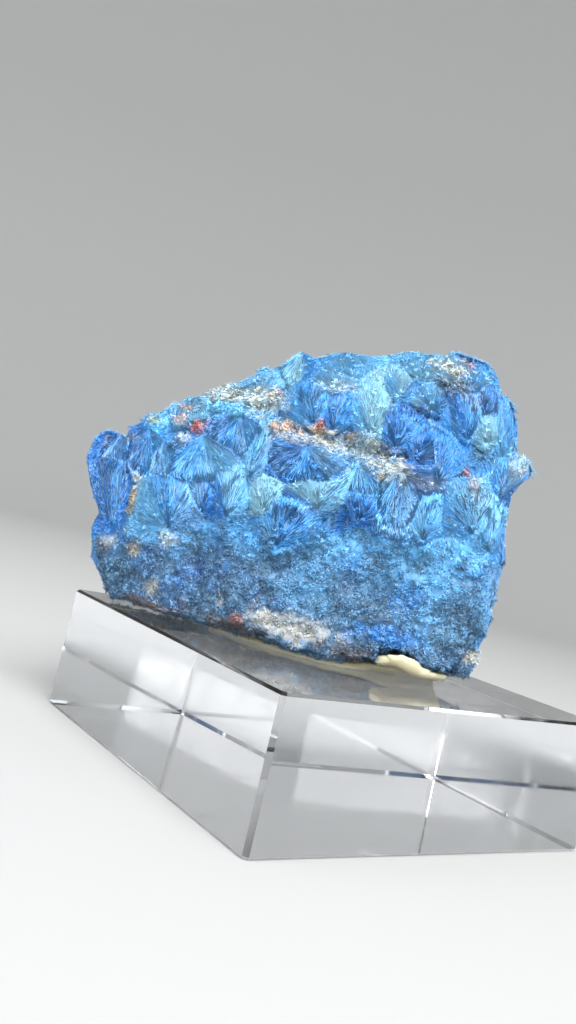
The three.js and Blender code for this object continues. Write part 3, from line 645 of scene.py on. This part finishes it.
def build_mesh(name, points, faces, material, colours, domain="POINT", vectors=None):
    """A mesh object from arrays in the specimen's frame, with its colours as attribute tint."""
    mesh = bpy.data.meshes.new(name)
    mesh.vertices.add(len(points))
    mesh.vertices.foreach_set("co", to_row(points).astype(np.float32).ravel())
    mesh.loops.add(3 * len(faces))
    mesh.loops.foreach_set("vertex_index", faces.astype(np.int32).ravel())
    mesh.polygons.add(len(faces))
    mesh.polygons.foreach_set("loop_start", np.arange(0, 3 * len(faces), 3, dtype=np.int32))
    mesh.update(calc_edges=True)
    tint = mesh.attributes.new("tint", "FLOAT_COLOR", domain)
    rgba = np.concatenate([colours, np.ones((len(colours), 1))], axis=1)
    tint.data.foreach_set("color", rgba.astype(np.float32).ravel())
    for label, values in (vectors or {}).items():
        layer = mesh.attributes.new(label, "FLOAT_VECTOR", "FACE")
        layer.data.foreach_set("vector", values.astype(np.float32).ravel())
    mesh.materials.append(material)
    item = bpy.data.objects.new(name, mesh)
    bpy.context.scene.collection.objects.link(item)
    return item


# Materials

def new_material(name):
    material = bpy.data.materials.new(name)
    material.use_nodes = True
    nodes = material.node_tree.nodes
    return material, nodes, material.node_tree.links, nodes["Principled BSDF"]


def attribute_node(nodes, name):
    node = nodes.new("ShaderNodeAttribute")
    node.attribute_name = name
    return node


def vector_node(nodes, operation):
    node = nodes.new("ShaderNodeVectorMath")
    node.operation = operation
    return node


def noise_node(nodes, scale, detail):
    node = nodes.new("ShaderNodeTexNoise")
    node.inputs["Scale"].default_value = scale
    node.inputs["Detail"].default_value = detail
    return node


def range_node(nodes, *limits):
    """Maps the range of the first two limits onto that of the last two."""
    node = nodes.new("ShaderNodeMapRange")
    for name, limit in zip(("From Min", "From Max", "To Min", "To Max"), limits):
        node.inputs[name].default_value = limit
    return node


def skin_material():
    """Streaks along the rays of the fans and fine grains on the felted rock, over the tints."""
    material, nodes, links, shader = new_material("shattuckite_skin")
    tint = attribute_node(nodes, "tint")
    apex = attribute_node(nodes, "apex")
    fibrous = attribute_node(nodes, "fibrous")
    place = nodes.new("ShaderNodeTexCoord")
    away = vector_node(nodes, "SUBTRACT")
    links.new(place.outputs["Object"], away.inputs[0])
    links.new(apex.outputs["Vector"], away.inputs[1])
    ray = vector_node(nodes, "NORMALIZE")
    links.new(away.outputs["Vector"], ray.inputs[0])
    streak = noise_node(nodes, 26, 3)
    links.new(ray.outputs["Vector"], streak.inputs["Vector"])
    grain = noise_node(nodes, 2600, 2)
    links.new(place.outputs["Object"], grain.inputs["Vector"])
    pattern = nodes.new("ShaderNodeMix")
    links.new(fibrous.outputs["Vector"], pattern.inputs["Factor"])
    links.new(grain.outputs["Fac"], pattern.inputs["A"])
    links.new(streak.outputs["Fac"], pattern.inputs["B"])
    shade = range_node(nodes, 0.32, 0.68, 0.65, 1.15)
    links.new(pattern.outputs["Result"], shade.inputs["Value"])
    colour = vector_node(nodes, "SCALE")
    links.new(tint.outputs["Color"], colour.inputs[0])
    links.new(shade.outputs["Result"], colour.inputs["Scale"])
    links.new(colour.outputs["Vector"], shader.inputs["Base Color"])
    bump = nodes.new("ShaderNodeBump")
    bump.inputs["Strength"].default_value = 0.5
    bump.inputs["Distance"].default_value = 0.00008
    links.new(pattern.outputs["Result"], bump.inputs["Height"])
    links.new(bump.outputs["Normal"], shader.inputs["Normal"])
    shader.inputs["Roughness"].default_value = 0.5
    shader.inputs["Specular IOR Level"].default_value = 0.45
    return material


def fibre_material():
    material, nodes, links, shader = new_material("shattuckite_fibres")
    tint = attribute_node(nodes, "tint")
    links.new(tint.outputs["Color"], shader.inputs["Base Color"])
    shader.inputs["Roughness"].default_value = 0.42
    shader.inputs["Specular IOR Level"].default_value = 0.5
    return material


def acrylic_material():
    """Clear acrylic that is faintly smeared on its faces and tints what is seen through it."""
    material, nodes, links, shader = new_material("clear_acrylic")
    shader.inputs["Base Color"].default_value = (0.97, 0.98, 0.99, 1)
    shader.inputs["Transmission Weight"].default_value = 1
    shader.inputs["IOR"].default_value = 1.49
    place = nodes.new("ShaderNodeTexCoord")
    stretch = nodes.new("ShaderNodeMapping")
    stretch.inputs["Rotation"].default_value = (0, 0, 0.5)
    stretch.inputs["Scale"].default_value = (60, 420, 420)
    links.new(place.outputs["Object"], stretch.inputs["Vector"])
    smear = noise_node(nodes, 1, 4)
    links.new(stretch.outputs["Vector"], smear.inputs["Vector"])
    haze = range_node(nodes, 0.45, 0.75, 0.02, 0.16)
    links.new(smear.outputs["Fac"], haze.inputs["Value"])
    links.new(haze.outputs["Result"], shader.inputs["Roughness"])
    absorption = nodes.new("ShaderNodeVolumeAbsorption")
    absorption.inputs["Color"].default_value = (0.86, 0.87, 0.92, 1)
    absorption.inputs["Density"].default_value = 6
    links.new(absorption.outputs["Volume"], nodes["Material Output"].inputs["Volume"])
    return material


def tack_material():
    material, nodes, links, shader = new_material("mineral_tack_cream")
    shader.inputs["Base Color"].default_value = (*LINEAR["putty"], 1)
    shader.inputs["Roughness"].default_value = 0.45
    shader.inputs["Subsurface Weight"].default_value = 0.6
    shader.inputs["Subsurface Scale"].default_value = 0.002
    shader.inputs["Subsurface Radius"].default_value = (1, 0.8, 0.4)
    return material


def floor_material(colour, roughness):
    material, _, _, shader = new_material("pale_floor")
    shader.inputs["Base Color"].default_value = (*colour, 1)
    shader.inputs["Roughness"].default_value = roughness
    return material


# Fibres and needles, each one a closed sliver of four triangles

SLIVER_FACES = np.array([[0, 2, 1], [0, 1, 3], [1, 2, 3], [2, 0, 3]])


def slivers(corners):
    """Points and faces of closed slivers from their four corners, turned to face outwards."""
    a, b, c, tip = corners.transpose(1, 0, 2)
    inside_out = np.einsum("ij,ij->i", np.cross(b - a, c - a), tip - a) < 0
    corners[inside_out] = corners[inside_out][:, [0, 2, 1, 3]]
    faces = np.arange(len(corners))[:, None, None] * 4 + SLIVER_FACES
    return corners.reshape(-1, 3), faces.reshape(-1, 3)


def scatter(points, faces, weight, count):
    """Random places on the faces, by area and weight: the places and their faces."""
    area = np.linalg.norm(face_normals(points, faces), axis=1) * weight
    chosen = rng.choice(len(faces), count, p=area / area.sum())
    u, v = rng.random((2, count))
    over = u + v > 1
    u, v = np.where(over, 1 - u, u), np.where(over, 1 - v, v)
    a, b, c = points[faces[chosen]].transpose(1, 0, 2)
    return a + (b - a) * u[:, None] + (c - a) * v[:, None], chosen


def flat_to(vectors, normals):
    """The part of each vector that lies in the plane with that unit normal."""
    return vectors - normals * np.einsum("ij,ij->i", vectors, normals)[:, None]


# How far a ray runs, in millimetres: back from its place in a fan or beside one, ahead of it,
# and past the rim of its facet at most
RAY_BACK = (0.25, 1.3)
RAY_BACK_BESIDE = (0.15, 0.5)
RAY_AHEAD = (0.2, 1.1)
RAY_AHEAD_MOST = 1.2
RAY_AHEAD_BESIDE = 0.25
RAY_PAST_RIM = (-0.1, 0.2)
RAY_SPREAD = 0.1

# A ray is thickest at this share of its length, where it sinks into the skin. Its two ends rise
# over the skin, the outer one by a random lift more
RAY_THICKEST = 0.7
RAY_SINK = 0.02
RAY_RISE = 0.006
RAY_LIFT = 0.05


def fan_fibres(name, skin, weight, count, width, material):
    """Fine rays that lie on the fans and run outwards from their apexes."""
    places, chosen = scatter(skin["points"], skin["faces"], weight, count)
    facet = skin["beside"][chosen]
    in_fan = skin["inside"][chosen] >= 0
    normal = skin["broad_normals"][chosen]
    apex, near, far = (skin["corners"][facet, i] for i in range(3))
    ray = flat_to(places - apex, normal)
    reach = np.linalg.norm(ray, axis=1)
    outward = unit(np.cross(unit(far - near), normal))
    to_rim = np.einsum("ij,ij->i", near - apex, outward)
    to_rim = to_rim / np.einsum("ij,ij->i", unit(ray), outward)
    to_rim += rng.uniform(*RAY_PAST_RIM, count)
    sideways = np.cross(unit(ray), normal) * rng.normal(0, RAY_SPREAD, count)[:, None]
    along = unit(unit(ray) + sideways)
    limit = np.clip(to_rim, reach + 0.1, reach + RAY_AHEAD_MOST)
    limit = np.where(in_fan, limit, reach + RAY_AHEAD_BESIDE)
    back = np.where(in_fan, rng.uniform(*RAY_BACK, count), rng.uniform(*RAY_BACK_BESIDE, count))
    start = np.maximum(reach - back, 0.02)
    stop = np.minimum(reach + rng.uniform(*RAY_AHEAD, count), limit)
    side = unit(np.cross(along, normal))
    half = 0.5 * width * (rng.uniform(0.5, 1.3, count) * (0.4 + 0.25 * stop))[:, None]
    thickest = (RAY_THICKEST * (stop - start) + start - reach)[:, None]
    middle = places + along * thickest - normal * RAY_SINK
    rise = normal * (0.35 * half + RAY_RISE)
    lifted = normal * (RAY_LIFT * rng.random(count) ** 3)[:, None]
    head = places + along * (stop - reach)[:, None] + rise + lifted
    tail = places + along * (start - reach)[:, None] + rise
    corners = [middle - side * half, middle + side * half, head, tail]
    points, faces = slivers(np.stack(corners, axis=1))
    factor = np.exp(rng.normal(0, 0.16, count))
    colour = shaded(skin["colours"][chosen], factor)
    colour = mix(colour, LINEAR["W"], rng.uniform(0, 1, count) ** 3 * 0.7)
    colour = mix(colour, LINEAR["tan"], rng.uniform(0, 1, count) ** 8 * 0.6)
    return build_mesh(name, points, faces, material, np.repeat(colour, 4, axis=0))


# A needle's foot stands this deep in the skin and this far along from its tuft's centre
NEEDLES_IN_TUFT = 8
NEEDLE_SINK = 0.05
NEEDLE_OFFSET = 0.04

# A spray leans to one side, low and long, and a rosette stands up all round
SPRAY_SHARE = 0.35
SPRAY = {"half angle": 0.75, "lift": 0.28, "length": 1.5}
ROSETTE = {"half angle": math.pi, "lift": 0.55, "length": 1}


def felt_needles(name, skin, weight, tufts, length, width, material):
    """Short needles in small tufts, each one a spray or a rosette."""
    centres, chosen = scatter(skin["points"], skin["faces"], weight, tufts)
    spray = rng.random(tufts) < SPRAY_SHARE
    repeat = NEEDLES_IN_TUFT
    count = tufts * repeat
    normal = skin["normals"][chosen]
    across = unit(flat_to(rng.normal(size=(tufts, 3)), normal))
    other = np.cross(normal, across)
    normal, across, other = (np.repeat(way, repeat, axis=0) for way in (normal, across, other))
    in_spray = np.repeat(spray, repeat)

    def by_kind(measure):
        return np.where(in_spray, SPRAY[measure], ROSETTE[measure])

    angle = by_kind("half angle") * rng.uniform(-1, 1, count)
    lift = by_kind("lift") * rng.uniform(0.5, 1.5, count)
    reach = by_kind("length") * length * rng.uniform(0.6, 1.2, count)
    around = across * np.cos(angle)[:, None] + other * np.sin(angle)[:, None]
    along = unit(around + normal * lift[:, None])
    foot = np.repeat(centres, repeat, axis=0) - normal * NEEDLE_SINK + along * NEEDLE_OFFSET
    tip = foot + along * reach[:, None]
    side = unit(np.cross(along, normal))
    half = (0.5 * width * rng.uniform(0.6, 1.3, count))[:, None]
    corners = [foot + side * half, foot - side * half, foot + normal * half * 1.5, tip]
    points, faces = slivers(np.stack(corners, axis=1))
    colour = np.repeat(skin["colours"][chosen], repeat, axis=0)
    clump = layered(centres, TUFT_CLUMPS)
    tuft_shade = np.repeat(clump + rng.normal(0, 0.25, tufts), repeat)
    brightness = np.exp(tuft_shade + rng.normal(0, 0.25, count))
    # Each needle is painted paler at its tip and darker at its foot: painted highlight and painted
    # shade. The pale mix is partly the felt's own pale colour and partly painted highlight,
    # stronger at the tips
    pale_and_highlight_share = np.repeat(rng.uniform(0, 1, tufts), repeat) * rng.uniform(0.3, 1, count)
    pale_and_highlight_share *= 1 - 0.6 * np.repeat(skin["grains"][chosen], repeat)
    tip_colour = mix(shaded(colour, 1.2 * brightness), LINEAR["felt_pale_and_highlight"], 0.7 * pale_and_highlight_share ** 1.3)
    foot_colour = mix(shaded(colour, 0.7 * brightness), LINEAR["felt_pale_and_highlight"], 0.3 * pale_and_highlight_share ** 1.3)
    colours = np.stack([foot_colour, foot_colour, foot_colour, tip_colour], axis=1).reshape(-1, 3)
    return build_mesh(name, points, faces, material, colours)


# Rounds of smoothing for the fans' shape and for their tones, then the relief
FAN_ROUNDING = 7
TONE_ROUNDING = 4
CREASE_HEIGHT = 0.12
CRUST_HEIGHT = 0.25
CRUST_ON_FANS = 0.4

# A face whose unit normal has less than this along q belongs to the best side
BEST_SIDE_FACING = -0.12


def roughened(points, faces, normals, apex, fan_share, snapped):
    """The points with the surface's relief: ripples along the rays of fans, crumbs on felted
    rock and a crust of coarse grains. Also gives the crumbs."""
    point_apex = point_mean(apex, faces, len(points))
    away = np.linalg.norm(points - point_apex, axis=1)
    ripple = layered(unit(points - point_apex), RIPPLES) * np.minimum(1, away)
    crumb = layered(points, CRUMBS)
    crumb += CREASE_HEIGHT * (0.5 - np.abs(noise(points, 0.4, 54)))
    pure = np.clip(fan_share * 2 - 1, 0, 1)
    _, grains = paint(points, np.zeros((len(points), 3)))
    crust = np.clip(grains * 1.5 - 0.2, 0, 1) * np.where(snapped, CRUST_ON_FANS, 1)
    bare = np.maximum(1 - fan_share, crust)
    shift = ripple * pure + (crumb + CRUST_HEIGHT * crust * fan_share) * bare
    return points + normals * shift[:, None], crumb


def face_colours(points, faces, apex, tone, rayed, crumb):
    """The colour of each face, and how far it is coarse grains."""
    centres = points[faces].mean(axis=1)
    blade = np.exp(layered(unit(centres - apex), BLADES))
    blade *= np.interp(np.linalg.norm(centres - apex, axis=1), *BRIGHTER_BY_DISTANCE)
    # Felted rock is painted darker in its hollows and paler on its crumbs: painted shade and light
    # of its relief
    painted_relief_light_and_shade = 1 + 1.6 * np.clip(crumb[faces].mean(axis=1), -0.3, 0.2)
    colour = np.where(rayed[:, None], tone, shaded(rock_colour(centres), painted_relief_light_and_shade))
    colour = blended(colour, faces, len(points), TONE_ROUNDING)
    return paint(centres, shaded(colour, np.where(rayed, blade, 1)))


def build_skin(material):
    """The skin's object, and what the fibres need to know about it."""
    facets, front_count = all_facets()
    corners = np.array([list(entry[:3]) for entry in facets])
    # The tones of the best side's facets carry painted light and shade as well as their own blues
    tones = np.array([LINEAR[entry[3]] for entry in facets])
    points, faces = cad_triangles("shattuckite")
    inside, beside = facet_of(points, faces, corners, front_count)
    points, faces, source = refine(points, faces, longest_edge, REFINE_ROUNDS)
    inside, beside = inside[source], beside[source]
    rayed = beside >= 0
    far_off = points[faces].mean(axis=1) + [0, 0, 30]
    apex = np.where(rayed[:, None], corners[beside, 0], far_off)

    snapped = snap_to_fans(points, faces, corners[:front_count])
    inside = np.where(snapped[faces].all(axis=1), beside, inside)
    fan_share = point_mean(rayed.astype(float), faces, len(points))
    points = smoothed(points, faces, SMOOTHING * fan_share, FAN_ROUNDING)
    normals = point_normals(points, faces)
    broad_normals = unit(normals[faces].mean(axis=1))
    points, crumb = roughened(points, faces, normals, apex, fan_share, snapped)

    colour, grains = face_colours(points, faces, apex, tones[beside], rayed, crumb)
    felt = np.where(rayed, grains, 1)
    # The skin is painted darker under the felt: painted shade in the gaps among the needles
    depth = 1 - felt * layered(points[faces].mean(axis=1), FELT_SHADOW, 0.3)
    vectors = {
        "apex": to_row(apex),
        "fibrous": np.repeat((1 - felt)[:, None], 3, axis=1),
    }
    tint = shaded(colour, depth)
    item = build_mesh("shattuckite_skin", points, faces, material, tint, "FACE", vectors)
    flat = unit(face_normals(points, faces))
    skin = {
        "points": points, "faces": faces, "normals": flat, "broad_normals": broad_normals,
        "corners": corners, "inside": inside, "beside": beside, "rayed": rayed,
        "felt": felt, "grains": grains, "colours": colour,
        "front": flat[:, 1] < BEST_SIDE_FACING,
    }
    return item, skin


# The tack, pressed under the specimen

TACK_EDGE = 0.55
TACK_ROUNDING = 6
TACK_SWELL = 0.14
TACK_LEAST = 0.02

# What rises above this height is lowered to a share of it
BEAD_HEIGHT = 0.8
BEAD_SHARE = 0.7


def build_tack(material):
    """The tack's solid, softened all over and swollen until it presses on the specimen."""
    points, faces = cad_triangles("mineral_tack")
    points, faces, _ = refine(points, faces, lambda middles: TACK_EDGE, REFINE_ROUNDS)
    points = smoothed(points, faces, np.full(len(points), SMOOTHING), TACK_ROUNDING)
    swell = layered(points, TACK_WAVES, TACK_SWELL)
    points = points + point_normals(points, faces) * swell[:, None]
    height = np.maximum(points[:, 2] - BLOCK_HEIGHT, TACK_LEAST)
    lowered = BEAD_HEIGHT + BEAD_SHARE * (height - BEAD_HEIGHT)
    points[:, 2] = BLOCK_HEIGHT + np.where(height > BEAD_HEIGHT, lowered, height)
    colours = np.tile(LINEAR["putty"], (len(points), 1))
    item = build_mesh("mineral_tack_soft", points, faces, material, colours)
    item.data.shade_smooth()
    return item


# Studio

FLOOR_RADIUS = 0.3
SWEEP_RADIUS = 0.28
WALL_HEIGHT = 0.9
SWEEP_STEPS = 24
ROUND_STEPS = 96
FLOOR_LEVEL = -0.00002
FLOOR_COLOUR = (0.4, 0.4, 0.395)
FLOOR_ROUGHNESS = 0.8


def build_sweep():
    """A pale floor that curves up into a wall all round, so every view has a plain ground."""
    rings = []
    for i in range(SWEEP_STEPS + 1):
        angle = math.pi / 2 * i / SWEEP_STEPS
        rise = SWEEP_RADIUS * (1 - math.cos(angle))
        rings.append((FLOOR_RADIUS + SWEEP_RADIUS * math.sin(angle), rise))
    rings.append((FLOOR_RADIUS + SWEEP_RADIUS, WALL_HEIGHT))
    points = [(0, 0, FLOOR_LEVEL)]
    for radius, height in rings:
        for j in range(ROUND_STEPS):
            turn = 2 * math.pi * j / ROUND_STEPS
            points.append((radius * math.cos(turn), radius * math.sin(turn), height + FLOOR_LEVEL))
    faces = [(0, 1 + j, 1 + (j + 1) % ROUND_STEPS) for j in range(ROUND_STEPS)]
    for ring in range(len(rings) - 1):
        base = 1 + ring * ROUND_STEPS
        for j in range(ROUND_STEPS):
            k = (j + 1) % ROUND_STEPS
            faces.append((base + j, base + ROUND_STEPS + j, base + ROUND_STEPS + k, base + k))
    mesh = bpy.data.meshes.new("pale_floor")
    mesh.from_pydata(points, [], faces)
    mesh.shade_smooth()
    mesh.materials.append(floor_material(FLOOR_COLOUR, FLOOR_ROUGHNESS))
    item = bpy.data.objects.new("pale_floor", mesh)
    bpy.context.scene.collection.objects.link(item)


# The lights: the direction towards each in the specimen's frame, its distance and side in
# metres, and its power
LIGHTS = {
    "key": ((0.3, -0.7, 1), 0.4, 0.26, 3.1),
    "side": ((-0.9, -0.5, 0.5), 0.45, 0.3, 0.7),
    "front": ((0.1, -1, 0.25), 0.5, 0.3, 1.5),
}
LIGHT_TARGET = Vector((0, 0, 0.02))
SKY_COLOUR = (0.9, 0.95, 1, 1)
SKY_STRENGTH = 1.3


def soft_light(name, direction, distance, size, power):
    """A square soft light that faces the specimen and isn't seen itself."""
    aim = Vector(unit(np.array(direction, float)) @ SPECIMEN_AXES)
    light = bpy.data.lights.new(name, "AREA")
    light.size = size
    light.energy = power
    item = bpy.data.objects.new(name, light)
    item.visible_camera = False
    item.location = LIGHT_TARGET + aim * distance
    item.rotation_mode = "QUATERNION"
    item.rotation_quaternion = aim.to_track_quat("Z", "Y")
    bpy.context.scene.collection.objects.link(item)


def build_lights():
    for name, settings in LIGHTS.items():
        soft_light(name, *settings)
    world = bpy.data.worlds.new("studio")
    world.use_nodes = True
    sky = world.node_tree.nodes["Background"]
    sky.inputs["Color"].default_value = SKY_COLOUR
    sky.inputs["Strength"].default_value = SKY_STRENGTH
    bpy.context.scene.world = world
    bpy.context.scene.view_settings.view_transform = "Standard"


# The photograph's camera: its place in millimetres in the row frame, and in degrees its heading
# from +Y towards +X, its tilt up and its roll
CAMERA_PLACE = (-48.572, -57.916, 19.479)
CAMERA_HEADING = 35.53
CAMERA_TILT = 0.821
CAMERA_ROLL = 13.371
FOCAL_PIXELS = 916.7
LONG_SIDE_PIXELS = 1024
SENSOR = 36
CLIP_START = 0.002
CLIP_END = 10


def build_camera():
    camera = bpy.data.cameras.new("camera")
    camera.sensor_width = SENSOR
    camera.lens = FOCAL_PIXELS / LONG_SIDE_PIXELS * SENSOR
    camera.clip_start = CLIP_START
    camera.clip_end = CLIP_END
    item = bpy.data.objects.new("camera", camera)
    heading = Matrix.Rotation(math.radians(-CAMERA_HEADING), 4, "Z")
    tilt = Matrix.Rotation(math.radians(90 + CAMERA_TILT), 4, "X")
    roll = Matrix.Rotation(math.radians(CAMERA_ROLL), 4, "Z")
    item.matrix_world = Matrix.Translation(Vector(CAMERA_PLACE) * MM) @ heading @ tilt @ roll
    bpy.context.scene.collection.objects.link(item)
    bpy.context.scene.camera = item


TIER_HEIGHT = 24.5
FELT_ON_FANS = 0.1

build_camera()
build_lights()
build_sweep()

skin_item, skin = build_skin(skin_material())
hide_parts("shattuckite")

front = skin["front"]
lower = skin["points"][skin["faces"]].mean(axis=1)[:, 2] < TIER_HEIGHT
rays = skin["rayed"] * (1 - skin["felt"])
felted = np.maximum(skin["felt"], FELT_ON_FANS)

# The pieces of rays: the weight of each face, the number of rays and their width
ray_pieces = {
    "fan_rays_lower_tier": (rays * front * lower, 36000, 0.08),
    "fan_rays_upper_tier": (rays * front * ~lower, 40000, 0.08),
    "fan_rays_other_sides": (rays * ~front, 30000, 0.13),
}

# The pieces of felt: the weight of each face, the number of tufts, their length and width
felt_pieces = {
    "felt_best_side": (felted * front, 6200, 0.34, 0.12),
    "felt_other_sides": (skin["felt"] * ~front, 5500, 0.44, 0.17),
}

fibres = fibre_material()
pieces = [skin_item]
for name, settings in ray_pieces.items():
    pieces.append(fan_fibres(name, skin, *settings, fibres))
for name, settings in felt_pieces.items():
    pieces.append(felt_needles(name, skin, *settings, fibres))
for piece in pieces:
    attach(piece, "root")

tack = build_tack(tack_material())
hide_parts("mineral_tack")
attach(tack, "root")

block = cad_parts["acrylic_block"]
for slot in block.material_slots:
    slot.material = acrylic_material()
